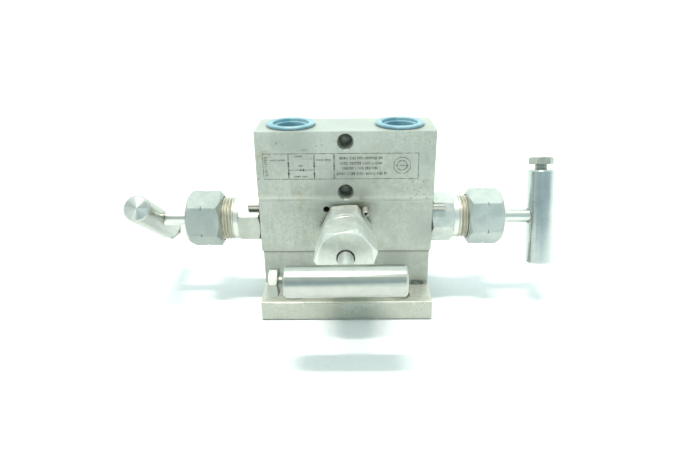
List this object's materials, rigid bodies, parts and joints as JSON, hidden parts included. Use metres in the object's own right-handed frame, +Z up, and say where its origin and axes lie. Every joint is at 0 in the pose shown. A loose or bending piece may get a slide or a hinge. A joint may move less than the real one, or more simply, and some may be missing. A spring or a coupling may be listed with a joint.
{
  "type": "three-valve instrument manifold with needle valves",
  "caption": "Block manifold with needle valves: a T-handled isolation valve on each end, an equalising valve in front, plugged pipe ports on top and a bolting flange below.",
  "frame": {"origin": "centre of the flange's underside", "axes": "+X along the block's width, from the left isolation valve to the right one; the equalising valve points to -Y; +Z up, from the flange to the pipe ports"},
  "size_m": [0.2166, 0.1086, 0.0966],
  "materials": {
    "block": "matte milled stainless bar, stained",
    "bonnet": "turned stainless with brown thread stain",
    "nut": "satin turned hexagon",
    "stem": "fine turned and burnished",
    "handle": "polished bar",
    "fastener": "plain machine finish",
    "ball": "polished ball",
    "plug": "pale blue translucent polyethylene",
    "seal": "white PTFE"
  },
  "bodies": {
    "manifold": {"manifold_body": "block", "left_flange_seal": "seal", "right_flange_seal": "seal", "left_isolation_bonnet": "bonnet", "left_isolation_bonnet_gasket": "seal", "left_isolation_packing_rings": "seal", "left_isolation_packing_gland": "stem", "left_isolation_packing_nut": "nut", "left_isolation_lock_pin": "fastener", "right_isolation_bonnet": "bonnet", "right_isolation_bonnet_gasket": "seal", "right_isolation_packing_rings": "seal", "right_isolation_packing_gland": "stem", "right_isolation_packing_nut": "nut", "right_isolation_lock_pin": "fastener", "equalising_bonnet": "bonnet", "equalising_bonnet_gasket": "seal", "equalising_packing_rings": "seal", "equalising_packing_gland": "stem", "equalising_packing_nut": "nut", "equalising_lock_pin": "fastener"},
    "left_port_plug": {"left_port_plug": "plug"},
    "right_port_plug": {"right_port_plug": "plug"},
    "left_isolation_ball": {"left_isolation_stem_ball": "ball"},
    "left_isolation_handle": {"left_isolation_stem": "stem", "left_isolation_handle_bar": "handle", "left_isolation_handle_bolt": "fastener"},
    "right_isolation_ball": {"right_isolation_stem_ball": "ball"},
    "right_isolation_handle": {"right_isolation_stem": "stem", "right_isolation_handle_bar": "handle", "right_isolation_handle_bolt": "fastener"},
    "equalising_ball": {"equalising_stem_ball": "ball"},
    "equalising_handle": {"equalising_stem": "stem", "equalising_handle_bar": "handle", "equalising_handle_bolt": "fastener"}
  },
  "joints": [
    {"name": "left_isolation_stem_travel", "type": "slide", "parent": "manifold", "child": "left_isolation_ball", "axis": [-1, 0, 0], "range_m": [0, 0.0045]},
    {"name": "left_isolation_handle_turn", "type": "hinge", "parent": "left_isolation_ball", "child": "left_isolation_handle", "pos_m": [-0.1016, -0.0022, 0.0464], "axis": [-1, 0, 0], "range_deg": [0, 1530]},
    {"name": "right_isolation_stem_travel", "type": "slide", "parent": "manifold", "child": "right_isolation_ball", "axis": [1, 0, 0], "range_m": [0, 0.0045]},
    {"name": "right_isolation_handle_turn", "type": "hinge", "parent": "right_isolation_ball", "child": "right_isolation_handle", "pos_m": [0.1016, -0.0022, 0.0468], "axis": [1, 0, 0], "range_deg": [0, 1530]},
    {"name": "equalising_stem_travel", "type": "slide", "parent": "manifold", "child": "equalising_ball", "axis": [0, -1, 0], "range_m": [0, 0.0045]},
    {"name": "equalising_handle_turn", "type": "hinge", "parent": "equalising_ball", "child": "equalising_handle", "pos_m": [0, -0.073, 0.0472], "axis": [0, -1, 0], "range_deg": [0, 1530]},
    {"name": "left_port_plug_pull", "type": "slide", "parent": "manifold", "child": "left_port_plug", "axis": [0, 0, 1], "range_m": [0, 0.06]},
    {"name": "right_port_plug_pull", "type": "slide", "parent": "manifold", "child": "right_port_plug", "axis": [0, 0, 1], "range_m": [0, 0.06]}
  ],
  "couplings": [
    {"joint": "left_isolation_stem_travel", "follows": "left_isolation_handle_turn", "m_per_rad": 0.00016844},
    {"joint": "right_isolation_stem_travel", "follows": "right_isolation_handle_turn", "m_per_rad": 0.00016844},
    {"joint": "equalising_stem_travel", "follows": "equalising_handle_turn", "m_per_rad": 0.00016844}
  ]
}
